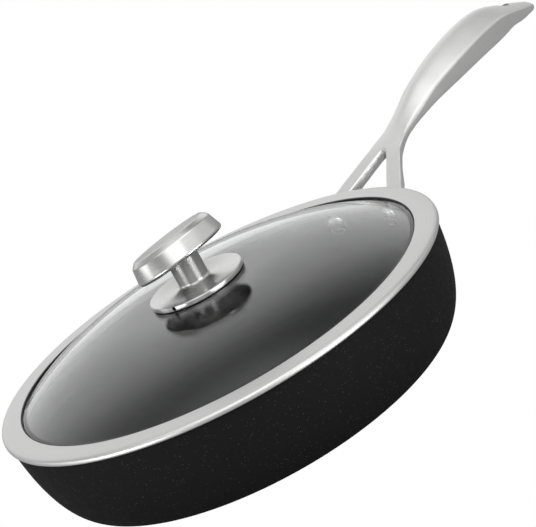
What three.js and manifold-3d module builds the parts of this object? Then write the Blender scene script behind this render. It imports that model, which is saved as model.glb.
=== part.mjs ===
// Saute pan with lid: a cast pan with a riveted fork handle, and a banded glass lid with a leaning knob.
// Millimetres, +Z up. The origin is the centre of the base, and the handle runs along +X.

import * as THREE from 'three';
import { mergeVertices } from 'three/addons/utils/BufferGeometryUtils.js';
import Module from 'manifold-3d';

const wasm = await Module();
wasm.setup();

// Facets and fits
const panSteps = 64;
const knobSteps = 32;
const smallSteps = 16;
const curveSteps = 8;
const fitGap = 0.3;

// Pan
const rimRadius = 132;
const rimLevel = 56.8;
const baseRadius = 104;
const cornerReach = 13;
const wallLean = 1.5;
const leanDrop = 31.8;
const wallThickness = 4;
const floorThickness = 5;
const discRadius = 92;
const discThickness = 2;
const discProud = 0.6;

// Lid band, seal and glass
const bandThickness = 3.2;
const bandOverhang = 2;
const bandLip = 0.5;
const skirtClearance = 2.6;
const skirtThickness = 4.4;
const skirtDrop = 5.3;
const grooveWall = 1.3;
const sealWall = 0.5;
const sealShow = 0.8;
const glassThickness = 3;
const domeRise = 20.5;
const domeLand = 30;
const domeCrown = 31.2;
const shoulderIn = 27.8;
const shoulderDrop = 7.4;

// Knob
const gasketThickness = 1;
const gasketSetback = 1;
const flangeRadius = 28;
const flangeThickness = 1.5;
const flangeChamfer = 0.4;
const flangeLift = 0.7;
const flareRadius = 17;
const flareHeight = 3;
const chamberRadius = 25.8;
const chamberDepth = 0.8;
const hubRadius = 11;
const ventDiameter = 1.6;
const ventAzimuth = 196;
const glassVentDiameter = 3;
const glassVentRadius = 18;
const stemRadius = 9;
const stemHeight = 13.05;
const capLean = 14;
const capBottomRadius = 28.2;
const capTopRadius = 25.4;
const capShoulder = 11.5;
const capRound = 2.4;
const capFaceRadius = 21.9;
const capHeight = 13.3;
const capEdge = 1.6;

// Knob fastening
const screwRadius = 4;
const screwBite = 9;
const screwHeadRadius = 6.4;
const screwFaceRadius = 5.1;
const screwHeadHeight = 3;
const recessWidth = 1.6;
const recessLength = 7;
const recessDepth = 1.6;
const boreRadius = 4.3;
const bushWall = 1.6;
const washerRadius = 11.5;
const washerThickness = 1.2;
const lowerGasketThickness = 0.8;

// Handle: reaches run from the rim's edge, heights from the rim's level
const legBury = 10;
const legWidth = 13;
const legThickness = 6.2;
const legSpread = 51.4;
const legRootTop = -3.8;
const forkReach = 30.8;
const forkRadius = 2.8;
const joinLength = 2;
const joinWidth = 27.4;
const joinTop = 11.1;
const joinCrown = 1.2;
const neckReach = 47;
const neckWidth = 20.9;
const neckTop = 19.2;
const neckThickness = 9;
const swellReach = 80;
const swellWidth = 27.9;
const swellTop = 31;
const swellThickness = 15.5;
const palmReach = 100;
const palmWidth = 32.5;
const palmTop = 35.7;
const palmThickness = 18.9;
const gripReach = 121;
const gripWidth = 32.8;
const gripTop = 38.4;
const gripThickness = 20.9;
const heelReach = 144;
const heelWidth = 28.7;
const heelTop = 37.9;
const heelThickness = 20.6;
const lugReach = 160;
const lugWidth = 23;
const lugTop = 32.5;
const lugThickness = 15.1;
const endReach = 178;
const endWidth = 15.1;
const endTop = 24.5;
const endThickness = 9.4;
const tipReach = 188;
const tipWidth = 10.2;
const tipTop = 19.6;
const tipThickness = 5.1;
const crownShare = 0.42;
const bellyShare = 0.85;
const hangDiameter = 9;
const hangInset = 22;

// Handle pads and rivets
const rivetSpread = 47;
const rivetDrop = 13.8;
const padWidth = 18;
const padHeight = 18;
const padThickness = 4.5;
const shankRadius = 3;
const headRadius = 6.2;
const headHeight = 2.8;
const tailRadius = 5.4;
const tailHeight = 1.6;

// Levels and radii that follow
const panMouth = rimRadius - wallThickness;
const floorLevel = discProud + floorThickness;
const bandTop = rimLevel + bandThickness;
const bandOuter = rimRadius + bandOverhang;
const skirtOuter = panMouth - skirtClearance;
const bandInner = skirtOuter - skirtThickness;
const skirtBottom = rimLevel - skirtDrop;
const grooveRadius = skirtOuter - grooveWall;
const sealTop = bandTop - bandLip;
const glassEdgeTop = sealTop - sealWall;
const glassEdgeBottom = glassEdgeTop - glassThickness;
const sealBottom = glassEdgeBottom - sealWall;
const sealOuter = grooveRadius - fitGap;
const sealInner = bandInner - sealShow;
const glassEdge = sealOuter - sealWall - fitGap;
const domeTop = bandTop + domeRise;
const domeUnder = domeTop - glassThickness;
const flangeLevel = domeTop + gasketThickness;
const flangeTop = flangeLevel + flangeThickness;
const flangeEdge = flangeTop + flangeLift;
const stemLevel = flangeTop + flareHeight;
const capLevel = stemLevel + stemHeight;
const bushOuter = boreRadius + bushWall;
const glassBore = bushOuter + fitGap;
const washerTop = domeUnder - lowerGasketThickness;
const screwHeadTop = washerTop - washerThickness;
const screwTop = stemLevel + screwBite;

// Materials
const finish = (color, roughness, metalness) => new THREE.MeshStandardMaterial(
  { color, roughness, metalness });
const blackCoat = () => finish(0x1b1b1d, 0.75, 0.1);
const satinSteel = () => finish(0xb9b9b7, 0.38, 1);
const brightSteel = () => finish(0xcfcfcd, 0.2, 1);
const castSteel = () => finish(0xb0b0ae, 0.45, 1);
const blackSilicone = () => finish(0x161617, 0.8, 0);
const whiteNylon = () => finish(0xd8d8d4, 0.5, 0);
const clearGlass = () => {
  const glass = finish(0xa6abad, 0.05, 0);
  glass.transparent = true;
  glass.opacity = 0.35;
  return glass;
};

// Points of a profile, with x as the radius and y as the height
const point = (x, y) => new THREE.Vector2(x, y);

// Merges shared corners and drops the empty triangles that a revolved profile leaves on its axis
function weld(geometry) {
  geometry.deleteAttribute('normal');
  geometry.deleteAttribute('uv');
  const merged = mergeVertices(geometry, 1e-4);
  const corners = Array.from(merged.index.array);
  const kept = [];
  for (let i = 0; i < corners.length; i += 3) {
    const [a, b, c] = corners.slice(i, i + 3);
    if (a !== b && b !== c && c !== a) kept.push(a, b, c);
  }
  merged.setIndex(kept);
  return merged;
}

// Solids for joining and cutting
function solid(geometry) {
  const welded = weld(geometry.clone());
  const vertProperties = new Float32Array(welded.attributes.position.array);
  const triVerts = new Uint32Array(welded.index.array);
  return new wasm.Manifold(new wasm.Mesh({ numProp: 3, vertProperties, triVerts }));
}

function surface(body) {
  const mesh = body.getMesh();
  const geometry = new THREE.BufferGeometry();
  geometry.setAttribute('position', new THREE.BufferAttribute(mesh.vertProperties, 3));
  geometry.setIndex(new THREE.BufferAttribute(mesh.triVerts, 1));
  return geometry;
}

const without = (body, tools) => surface(tools.reduce((rest, tool) => rest.subtract(solid(tool)), body));
const cut = (geometry, tools) => without(solid(geometry), tools);

// A profile turned about +Z. It runs from axis to axis, or closes on itself.
function revolve(profile, steps) {
  const closed = profile[0].x > 0;
  const loop = closed ? [...profile, profile[0].clone()] : profile;
  const outward = THREE.ShapeUtils.area(profile) > 0 ? loop : [...loop].reverse();
  return weld(new THREE.LatheGeometry(outward, steps).rotateX(Math.PI / 2));
}

const ring = (inner, outer, bottom, top, steps) => revolve(
  [point(inner, bottom), point(outer, bottom), point(outer, top), point(inner, top)], steps);

const arc = (x, y, radius, from, to, steps) => new THREE.EllipseCurve(
  x, y, radius, radius, from, to, from > to).getPoints(steps);

function rod(radius, bottom, top, steps) {
  const geometry = new THREE.CylinderGeometry(radius, radius, top - bottom, steps).rotateX(Math.PI / 2);
  return geometry.translate(0, 0, (top + bottom) / 2);
}

const polar = (radius, degrees) => point(
  radius * Math.cos(THREE.MathUtils.degToRad(degrees)),
  radius * Math.sin(THREE.MathUtils.degToRad(degrees)));

// Curves moved sideways, with the offset to the right of the way they run
function offsetPoints(curve, distance, steps) {
  return curve.getPoints(steps).map((place, i) => {
    const along = curve.getTangent(i / steps);
    return point(place.x + along.y * distance, place.y - along.x * distance);
  });
}

// The wall's curve from the flat bottom up to the rim, seen in section
const wallCurve = (inset, bottom) => new THREE.CubicBezierCurve(
  point(baseRadius - inset / 2, bottom),
  point(baseRadius - inset / 2 + cornerReach, bottom),
  point(rimRadius - wallLean - inset, rimLevel - leanDrop),
  point(rimRadius - inset, rimLevel));

const outerWall = wallCurve(0, discProud);
const innerWall = wallCurve(wallThickness, floorLevel);

// Where a rising curve passes a level
function crossing(curve, level) {
  let low = 0;
  let high = 1;
  for (let i = 0; i < 40; i += 1) {
    const middle = (low + high) / 2;
    if (curve.getPoint(middle).y < level) low = middle;
    else high = middle;
  }
  return high;
}

// Rivet frames: Z points out of the wall and the origin lies on the wall's outer face
const rivetLevel = rimLevel - rivetDrop;
const rivetTurn = crossing(outerWall, rivetLevel);
const rivetSeat = outerWall.getPoint(rivetTurn);
const rivetSlope = outerWall.getTangent(rivetTurn);
const wallHere = (rivetSeat.x - innerWall.getPoint(crossing(innerWall, rivetLevel)).x) * rivetSlope.y;

function rivetFrame(side) {
  const azimuth = side * Math.asin(rivetSpread / 2 / rivetSeat.x);
  const outward = new THREE.Vector3(Math.cos(azimuth), Math.sin(azimuth), 0);
  const across = new THREE.Vector3(-Math.sin(azimuth), Math.cos(azimuth), 0);
  const axis = outward.clone().multiplyScalar(rivetSlope.y);
  axis.z = -rivetSlope.x;
  const frame = new THREE.Matrix4().makeBasis(across, axis.clone().cross(across), axis);
  return frame.setPosition(outward.multiplyScalar(rivetSeat.x).setZ(rivetSeat.y));
}

const rivetFrames = { left: rivetFrame(1), right: rivetFrame(-1) };
const rivetTools = (radius, from, to) => Object.values(rivetFrames).map(
  (frame) => rod(radius, from, to, smallSteps).applyMatrix4(frame));
const rivetHoles = () => rivetTools(shankRadius + fitGap, -wallThickness * 2, padThickness * 2);

// Flat seats in the wall's hollow side, for the heads
const headSeats = () => rivetTools(headRadius + fitGap, -wallHere - headHeight, -wallHere);

// Pan
function panBody() {
  const recess = discRadius + fitGap;
  const profile = [
    point(0, discThickness),
    point(recess, discThickness),
    point(recess, discProud),
    ...outerWall.getPoints(curveSteps),
    ...innerWall.getPoints(curveSteps).reverse(),
    point(0, floorLevel),
  ];
  return cut(revolve(profile, panSteps), [...rivetHoles(), ...headSeats()]);
}

const baseDisc = () => revolve(
  [point(0, 0), point(discRadius, 0), point(discRadius, discThickness), point(0, discThickness)], panSteps);

function rivet(frame) {
  const headUnder = -wallHere - fitGap;
  const tailUnder = padThickness + fitGap * 2;
  const dome = new THREE.EllipseCurve(0, headUnder, headRadius, headHeight, -Math.PI / 2, 0);
  const profile = [
    ...dome.getPoints(curveSteps / 2),
    point(shankRadius, headUnder),
    point(shankRadius, tailUnder),
    point(tailRadius, tailUnder),
    point(tailRadius, tailUnder + tailHeight),
    point(0, tailUnder + tailHeight),
  ];
  profile[0].x = 0;
  return revolve(profile, smallSteps).applyMatrix4(frame);
}

// The fork's legs, seen from above: two straight bars that part from a round crotch
function legPlan() {
  const end = rimRadius + forkReach + joinLength;
  const apex = point(rimRadius + forkReach - forkRadius, 0);
  const inner = point(rimRadius, (legSpread - legWidth) / 2);
  const outer = point(rimRadius, (legSpread + legWidth) / 2);
  const toRoot = inner.clone().sub(apex);
  const touch = toRoot.angle() - Math.acos(forkRadius / toRoot.length());
  const crotch = arc(apex.x, 0, forkRadius, touch, -touch, curveSteps);
  const innerRise = legBury * (inner.y - crotch[0].y) / (crotch[0].x - inner.x);
  const outerRise = legBury * (outer.y - joinWidth / 2) / (end - outer.x);
  const side = [
    point(rimRadius - legBury, inner.y + innerRise),
    point(rimRadius - legBury, outer.y + outerRise),
    point(end, joinWidth / 2),
  ];
  const mirrored = side.map((place) => point(place.x, -place.y)).reverse();
  return new THREE.Shape([...side, ...mirrored, ...crotch.reverse()]);
}

// The legs, seen from the side: a slab that rises away from the wall
function legSide() {
  const end = rimRadius + forkReach + joinLength;
  const fall = legBury * (joinTop - legRootTop) / (end - rimRadius);
  const root = rimLevel + legRootTop - fall;
  return new THREE.Shape([
    point(rimRadius - legBury, root - legThickness),
    point(end, rimLevel + joinTop - legThickness),
    point(end, rimLevel + joinTop),
    point(rimRadius - legBury, root),
  ]);
}

function legs() {
  const plan = new THREE.ExtrudeGeometry(legPlan(), { depth: rimLevel * 2, bevelEnabled: false });
  const side = new THREE.ExtrudeGeometry(legSide(), { depth: rimRadius * 2, bevelEnabled: false });
  side.rotateX(Math.PI / 2).translate(0, rimRadius, 0);
  return solid(plan).intersect(solid(side));
}

// The grip: a crowned section drawn along the handle, with its width, top and belly set at each station
function grip() {
  const stations = [
    [forkReach + joinLength, joinWidth, joinTop + joinCrown, legThickness + joinCrown],
    [neckReach, neckWidth, neckTop, neckThickness],
    [swellReach, swellWidth, swellTop, swellThickness],
    [palmReach, palmWidth, palmTop, palmThickness],
    [gripReach, gripWidth, gripTop, gripThickness],
    [heelReach, heelWidth, heelTop, heelThickness],
    [lugReach, lugWidth, lugTop, lugThickness],
    [endReach, endWidth, endTop, endThickness],
    [tipReach, tipWidth, tipTop, tipThickness],
  ];
  const along = (value) => new THREE.SplineCurve(
    stations.map((row) => point(rimRadius + row[0], value(...row))));
  const halfWidths = along((reach, width) => width / 2);
  const tops = along((reach, width, top) => rimLevel + top);
  const bellies = along((reach, width, top, thickness) => rimLevel + top - thickness);
  const section = new THREE.Shape();
  section.moveTo(-bellyShare, 0);
  section.lineTo(bellyShare, 0);
  section.lineTo(1, 1 - crownShare);
  section.quadraticCurveTo(0, 1 + crownShare, -1, 1 - crownShare);
  const drawn = { depth: 1, steps: curveSteps * 3, curveSegments: curveSteps, bevelEnabled: false };
  const geometry = new THREE.ExtrudeGeometry(section, drawn);
  const places = geometry.attributes.position;
  for (let i = 0; i < places.count; i += 1) {
    const turn = places.getZ(i);
    const top = tops.getPoint(turn);
    const belly = bellies.getPoint(turn).y;
    const across = places.getX(i) * halfWidths.getPoint(turn).y;
    places.setXYZ(i, top.x, across, belly + places.getY(i) * (top.y - belly));
  }
  return solid(geometry);
}

function handle() {
  let body = legs().add(grip());
  for (const frame of Object.values(rivetFrames)) {
    const depth = padThickness * 2;
    const pad = new THREE.BoxGeometry(padWidth, padHeight, depth);
    pad.translate(0, 0, padThickness + fitGap - depth / 2).applyMatrix4(frame);
    body = body.add(solid(pad));
  }
  const above = rimLevel * 2;
  const wall = revolve([
    point(0, 0),
    ...offsetPoints(outerWall, fitGap, curveSteps),
    point(rimRadius + fitGap, above),
    point(0, above),
  ], panSteps);
  const hang = rod(hangDiameter / 2, 0, above, smallSteps).translate(rimRadius + tipReach - hangInset, 0, 0);
  return without(body, [wall, hang, ...rivetHoles()]);
}

// Lid
function lidRim() {
  const edge = bandThickness / 2;
  return revolve([
    ...arc(bandOuter - edge, bandTop - edge, edge, -Math.PI / 2, Math.PI / 2, curveSteps / 2),
    point(bandInner, bandTop),
    point(bandInner, sealTop),
    point(grooveRadius, sealTop),
    point(grooveRadius, sealBottom),
    point(bandInner, sealBottom),
    point(bandInner, skirtBottom),
    point(skirtOuter, skirtBottom),
    point(skirtOuter, rimLevel),
  ], panSteps);
}

const glassSeal = () => revolve([
  point(sealInner, sealBottom),
  point(sealOuter, sealBottom),
  point(sealOuter, sealTop),
  point(sealInner, sealTop),
  point(sealInner, glassEdgeTop),
  point(glassEdge + fitGap, glassEdgeTop),
  point(glassEdge + fitGap, glassEdgeBottom),
  point(sealInner, glassEdgeBottom),
], panSteps);

function lidGlass() {
  const foot = sealInner - fitGap;
  const dome = new THREE.CubicBezierCurve(
    point(domeLand, domeTop),
    point(domeLand + domeCrown, domeTop),
    point(foot - shoulderIn, domeTop - shoulderDrop),
    point(foot, glassEdgeTop));
  const under = offsetPoints(dome, glassThickness, curveSteps).reverse();
  const body = revolve([
    point(glassBore, domeTop),
    ...dome.getPoints(curveSteps),
    point(glassEdge, glassEdgeTop),
    point(glassEdge, glassEdgeBottom),
    point(under[0].x + fitGap, glassEdgeBottom),
    ...under,
    point(glassBore, domeUnder),
  ], panSteps);
  const vent = rod(glassVentDiameter / 2, domeUnder - glassThickness, domeTop + glassThickness, smallSteps);
  const place = polar(glassVentRadius, ventAzimuth);
  return cut(body, [vent.translate(place.x, place.y, 0)]);
}

// Knob
function baseGasket() {
  const body = ring(glassBore, flangeRadius - gasketSetback, domeTop, flangeLevel, knobSteps);
  const place = polar(glassVentRadius, ventAzimuth);
  const vent = rod(glassVentDiameter / 2, domeUnder, flangeTop, smallSteps);
  return cut(body, [vent.translate(place.x, place.y, 0)]);
}

function knobBase() {
  const flare = new THREE.QuadraticBezierCurve(
    point(flareRadius, flangeTop),
    point(stemRadius, flangeTop),
    point(stemRadius, stemLevel));
  const body = revolve([
    point(flangeRadius, flangeLevel),
    point(flangeRadius, flangeEdge - flangeChamfer),
    point(flangeRadius - flangeChamfer, flangeEdge),
    ...flare.getPoints(curveSteps / 2),
    point(boreRadius, stemLevel),
    point(boreRadius, flangeLevel),
    point(hubRadius, flangeLevel),
    point(hubRadius, flangeLevel + chamberDepth),
    point(chamberRadius, flangeLevel + chamberDepth),
    point(chamberRadius, flangeLevel),
  ], knobSteps);
  const vent = rod(ventDiameter / 2, chamberRadius - ventDiameter, flangeRadius + ventDiameter, smallSteps);
  vent.rotateY(Math.PI / 2).rotateZ(THREE.MathUtils.degToRad(ventAzimuth));
  return cut(body, [vent.translate(0, 0, (flangeLevel + flangeEdge) / 2)]);
}

function knobStem() {
  const lean = THREE.MathUtils.degToRad(capLean);
  const highest = capLevel + stemRadius * 2;
  const body = revolve([
    point(boreRadius, stemLevel),
    point(stemRadius, stemLevel),
    point(stemRadius, highest),
    point(0, highest),
    point(0, screwTop + fitGap),
    point(boreRadius, screwTop + fitGap),
  ], knobSteps);
  const block = new THREE.BoxGeometry(stemRadius * 6, stemRadius * 6, stemRadius * 6);
  block.translate(0, 0, stemRadius * 3 - fitGap).rotateX(-lean).translate(0, 0, capLevel);
  return cut(body, [block]);
}

function knobCap() {
  const flank = Math.atan2(capBottomRadius - capTopRadius, capShoulder);
  const corner = point(capTopRadius, capShoulder);
  const down = point(capBottomRadius, 0).sub(corner).setLength(capRound);
  const inward = point(capFaceRadius, capHeight).sub(corner).setLength(capRound);
  const shoulder = new THREE.QuadraticBezierCurve(
    corner.clone().add(down), corner, corner.clone().add(inward));
  return revolve([
    point(0, 0),
    ...arc(capBottomRadius - capEdge, capEdge, capEdge, -Math.PI / 2, flank, curveSteps / 4),
    ...shoulder.getPoints(curveSteps / 2),
    point(capFaceRadius, capHeight),
    point(0, capHeight),
  ], knobSteps);
}

const leaningCap = (mesh) => {
  const group = new THREE.Group();
  group.position.z = capLevel;
  group.rotation.x = -THREE.MathUtils.degToRad(capLean);
  return group.add(mesh);
};

// Knob fastening, from inside the lid
const glassBush = () => ring(boreRadius, bushOuter, domeUnder, domeTop, knobSteps);
const lowerGasket = () => ring(boreRadius, washerRadius - gasketSetback, washerTop, domeUnder, knobSteps);
const cupWasher = () => ring(boreRadius, washerRadius, screwHeadTop, washerTop, knobSteps);

function knobScrew() {
  const headBottom = screwHeadTop - screwHeadHeight;
  const body = revolve([
    point(0, headBottom),
    point(screwFaceRadius, headBottom),
    point(screwHeadRadius, headBottom + screwHeadHeight / 2),
    point(screwHeadRadius, screwHeadTop),
    point(screwRadius, screwHeadTop),
    point(screwRadius, screwTop),
    point(0, screwTop),
  ], knobSteps);
  const slots = [0, Math.PI / 2].map((turn) => {
    const slot = new THREE.BoxGeometry(recessLength, recessWidth, recessDepth * 2);
    return slot.rotateZ(turn).translate(0, 0, headBottom);
  });
  return cut(body, slots);
}

function piece(name, geometry, material) {
  const mesh = new THREE.Mesh(geometry, material);
  mesh.name = name;
  return mesh;
}

const pan = new THREE.Group();
pan.add(piece('pan_body', panBody(), blackCoat()));
pan.add(piece('base_disc', baseDisc(), satinSteel()));
pan.add(piece('handle', handle(), castSteel()));
for (const [side, frame] of Object.entries(rivetFrames)) {
  pan.add(piece(`rivet_${side}`, rivet(frame), brightSteel()));
}

const lid = new THREE.Group();
lid.add(piece('lid_rim', lidRim(), satinSteel()));
lid.add(piece('glass_seal', glassSeal(), blackSilicone()));
lid.add(piece('lid_glass', lidGlass(), clearGlass()));
lid.add(piece('base_gasket', baseGasket(), blackSilicone()));
lid.add(piece('knob_base', knobBase(), brightSteel()));
lid.add(piece('knob_stem', knobStem(), brightSteel()));
lid.add(leaningCap(piece('knob_cap', knobCap(), satinSteel())));
lid.add(piece('glass_bush', glassBush(), whiteNylon()));
lid.add(piece('lower_gasket', lowerGasket(), blackSilicone()));
lid.add(piece('cup_washer', cupWasher(), brightSteel()));
lid.add(piece('knob_screw', knobScrew(), brightSteel()));

const sautePan = new THREE.Group();
sautePan.add(pan, lid);

export default sautePan;
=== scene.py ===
"""Saute pan with lid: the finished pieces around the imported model.

Metres and +Z up in the scene. Sizes below are millimetres, with the handle along +X.
"""

import math

import bmesh
import bpy
import numpy as np
from mathutils import Matrix, Vector


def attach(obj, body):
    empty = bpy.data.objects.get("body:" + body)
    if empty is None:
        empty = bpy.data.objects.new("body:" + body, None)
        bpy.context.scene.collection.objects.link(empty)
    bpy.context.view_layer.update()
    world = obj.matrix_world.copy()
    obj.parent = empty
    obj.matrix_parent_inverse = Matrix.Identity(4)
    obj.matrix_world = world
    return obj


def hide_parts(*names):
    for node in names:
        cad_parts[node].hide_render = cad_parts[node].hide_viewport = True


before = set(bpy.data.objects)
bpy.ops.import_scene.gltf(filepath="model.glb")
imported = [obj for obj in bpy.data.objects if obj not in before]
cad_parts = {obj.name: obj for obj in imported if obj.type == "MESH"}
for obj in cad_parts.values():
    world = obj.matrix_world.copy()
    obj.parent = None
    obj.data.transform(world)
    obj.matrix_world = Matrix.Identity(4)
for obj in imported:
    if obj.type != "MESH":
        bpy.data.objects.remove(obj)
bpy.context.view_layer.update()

MM = 0.001

# Facets
PAN_STEPS = 256
KNOB_STEPS = 128
SMALL_STEPS = 64
CURVE_STEPS = 40
CORNER_STEPS = 6
SMOOTH_BELOW = 32.0
MERGE_BELOW = 1e-6
DOUBLES_BELOW = 1e-7
SWEEP_RADIUS = 1.0
CONTACT_GAP = 0.05

# Pan
RIM_RADIUS = 132.0
RIM_LEVEL = 56.8
RIM_ROUND = 1.5
RIM_RUN = 4
BASE_RADIUS = 106.6
CORNER_REACH = 15.6
WALL_LEAN = 1.5
LEAN_DROP = 31.8
WALL = 4.0
FLOOR_LEVEL = 5.6
PAN_BOTTOM = 0.6
RECESS_RADIUS = 92.3
RECESS_ROUND = 0.4
DISC_RADIUS = 92.0
DISC_THICKNESS = 2.0
DISC_CHAMFER = 0.5
GROOVE_FIRST = 14.0
GROOVE_LAST = 86.0
GROOVE_PITCH = 3.0
GROOVE_DEPTH = 0.22
GROOVE_WIDTH = 0.9

# Lid band, seal and glass
BAND_OUTER = 134.0
BAND_TOP = 60.0
BAND_BROW = 4.4
BAND_FALL = 3.1
BAND_SLOPE = 0.55
BROW_RISE = 0.35
BROW_REACH = 0.3
BROW_CREST = 0.26
BROW_STEPS = 16
BAND_LIP = 132.3
LIP_BOTTOM = 55.6
BAND_INNER = 121.0
SKIRT_OUTER = 125.4
SKIRT_BOTTOM = 51.5
GROOVE_RADIUS = 124.1
SEAL_TOP = 59.5
SEAL_BOTTOM = 55.5
SEAL_INNER = 120.2
SEAL_OUTER = 123.8
SEAL_GROOVE = 123.3
GLASS_EDGE_TOP = 59.0
GLASS_EDGE_BOTTOM = 56.0
GLASS_EDGE_ROUND = 0.6
GLASS_EDGE_INSET = 0.3
GLASS_EDGE = 123.0
GLASS_FOOT = 119.9
GLASS_THICKNESS = 3.0
DOME_TOP = 80.5
DOME_LAND = 30.0
DOME_CROWN = 31.2
SHOULDER_IN = 27.8
SHOULDER_DROP = 7.4
GLASS_BORE = 6.2
GLASS_UNDER = 77.5
VENT_RADIUS = 18.0
VENT_SIZE = 1.5
VENT_SPARE = 5.0

# Knob
VENT_AZIMUTH = 196.0
GASKET_RADIUS = 26.9
FLANGE_LEVEL = 81.5
FLANGE_TOP = 83.0
FLANGE_RADIUS = 28.0
FLANGE_EDGE = 83.7
FLANGE_ROUND = 0.7
LIP_RADIUS = 27.1
LIP_LEVEL = 80.85
FLANGE_VENT_LEVEL = 82.4
FLANGE_VENT_SIZE = 1.2
FLANGE_VENT_RUN = (24.8, 30.0)
DISH_EDGE = (24.0, 83.45)
DISH_FALL = (21.0, 83.26)
DISH_FOOT = 20.0
DISH_STEPS = 16
FLARE_RADIUS = 17.0
FLARE_STEPS = 24
HUB_RADIUS = 11.0
CHAMBER_RADIUS = 25.8
CHAMBER_DEPTH = 0.8
BORE_RADIUS = 4.3
STEM_RADIUS = 9.0
STEM_LEVEL = 86.0
STEM_BORE_TOP = 95.3
STEM_BITE = 0.1
CAP_LEVEL = 99.05
CAP_LEAN = 14.0
CAP_BOTTOM_RADIUS = 28.2
CAP_TOP_RADIUS = 25.65
CAP_SHOULDER = 10.5
CAP_FACE_RADIUS = 22.8
CAP_HEIGHT = 13.08
CAP_EDGE = 1.8
CAP_SHOULDER_ROUND = 2.2
CAP_FACE_ROUND = 0.4
WASHER_RADIUS = 11.5
WASHER_TOP = 76.7
WASHER_BOTTOM = 75.5
UNDER_GASKET_RADIUS = 10.5
BUSH_RADIUS = 5.9

# Handle: X from the pan's axis, then width, level of the crest and thickness
HANDLE_STATIONS = (
    (163.6, 27.6, 67.7, 6.3),
    (168.0, 25.2, 69.4, 6.3),
    (172.0, 23.0, 70.9, 6.3),
    (176.0, 21.5, 72.3, 6.5),
    (181.0, 21.0, 74.4, 7.3),
    (188.0, 21.7, 77.6, 9.0),
    (196.0, 23.4, 81.4, 11.5),
    (205.0, 26.0, 85.4, 14.1),
    (212.0, 27.9, 87.8, 15.8),
    (232.0, 32.5, 92.5, 19.2),
    (253.0, 32.8, 95.2, 21.2),
    (270.0, 30.2, 95.5, 21.7),
    (282.0, 27.0, 93.5, 19.7),
    (292.0, 23.0, 89.3, 15.4),
    (302.0, 18.8, 85.1, 12.9),
    (311.0, 14.6, 80.8, 9.2),
    (320.0, 10.2, 76.4, 5.2),
)
HANDLE_TIP = 320.0
NOSE_LENGTH = 4.0
NOSE_WIDTH = 0.35
NOSE_DEPTH = 0.55
NOSE_TURN = 86.0
NOSE_RINGS = 12
GRIP_RINGS = 90
TOP_POINTS = 12
EDGE_POINTS = 5
BELLY_POINTS = 8
FORM_START = 120.0
FORM_STEP = 0.5
FORM_SAMPLES = 400
EASE_REACH = 5
CROWN_SHARE = 0.42
CROWN_ROUND = 0.45
BELLY_SHARE = 0.85
LEG_BELLY_SHARE = 0.9
LEG_SLOPE = 14.9 / 31.6
LEG_ROOT_TOP = 53.0
LEG_THICKNESS = 6.2
FORK_CENTRE = 160.0
FORK_RADIUS = 2.8
FORK_TOUCH = 60.0
FORK_BLEND = 157.0
FORK_BLEND_LENGTH = 40.0
LEG_INNER_ROOT = 19.2
LEG_OUTER_ROOT = 31.2
LEG_WIDTH = 9.6
LEG_RUNS = (4.0, 8.0, 12.0, 16.0)
LEG_JOIN = (169.0, 166.4, 164.4)
LEG_RINGS = 3
CHEVRON = 10.0
CHEVRON_LENGTH = 45.0
FORK_EASE = (152.0, 182.0)
FORK_EASE_ROUNDS = 5
RIDGE_RADIUS = 1.2
NECK_RIDGE = 1.2
NECK = 182.0
NECK_LENGTH = 18.0
KEEL_RADIUS = 1.6
KEEL_SHARE = 0.4
RIDGE_SHARE = 0.45
LEG_RIDGE_SHARE = 0.3
HANG_X = 298.0
HANG_RADIUS = 4.5
HANG_LIP = 1.0
HANG_SPARE = 10.0
LIP_SPARE = 6.0
LIP_SPAN = 4.0
LIP_STEPS = 8
BELLY_LEAN = 0.06

# Handle pads and rivets
RIVET_SPREAD = 23.5
RIVET_LEVEL = 43.0
PAD_HALF = 9.0
PAD_FRONT = 4.8
PAD_BACK = -0.2
PAD_ROUND = 6.0
PAD_LEVELS = (-3.0, -4.6, -6.2, -7.6, -8.6, -9.0)
SHANK_RADIUS = 3.0
HEAD_RADIUS = 6.2
HEAD_HEIGHT = 2.8
HEAD_FLAT = 0.75
HEAD_SIDE = 0.55
HEAD_EDGE = 0.3
HEAD_SINK = 0.4
TAIL_RADIUS = 5.4
TAIL_HEIGHT = 1.8
TAIL_ROUND = 0.8

# Where a leg turns down the wall: distances of its top and belly from the wall, the shares by which
# they are drawn out to the pad's width, and the belly's level over the rivet where it leaves the slab
FOOT_ROWS = (
    (15.0, 15.0, 0.0, 0.0, None),
    (11.5, 12.5, 0.0, 0.0, None),
    (7.5, 10.0, 0.1, 0.0, None),
    (4.0, 8.0, 0.25, 0.15, None),
    (1.5, 6.4, 0.4, 0.35, 4.6),
    (-0.2, 5.3, 0.5, 0.6, 2.9),
)
# The pad's first rows: level of its back, level of its front, and the back's share of the pad's width
PAD_ROWS = ((5.0, 0.6, 0.75), (1.5, -1.5, 1.0))

# Flecks in the black coat: cells in a metre, size in a cell, how rare, and where the outside begins
FLECK_SCALE = 1100.0
FLECK_SIZE = 0.3
FLECK_RARITY = 0.84
FLECK_OUTSIDE = (0.02, 0.05)

# Noise and brushed lines
NOISE_ROUGHNESS = 0.55
LINE_SLANT = 0.83
LINE_WANDER = 2.0
LINE_DARK = 0.9

# Camera, seen from the middle of the band's top
HANDLE_TURN = 36.0
VIEW_ELEVATION = 18.0211
VIEW_ROLL = -29.3787
VIEW_DISTANCE = 1.608
VIEW_FOCAL = 2948.9
VIEW_CENTRE = (215.42, 316.8)
PICTURE = (536.0, 527.0)
SENSOR = 36.0
VIEW_END = 100.0

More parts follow.
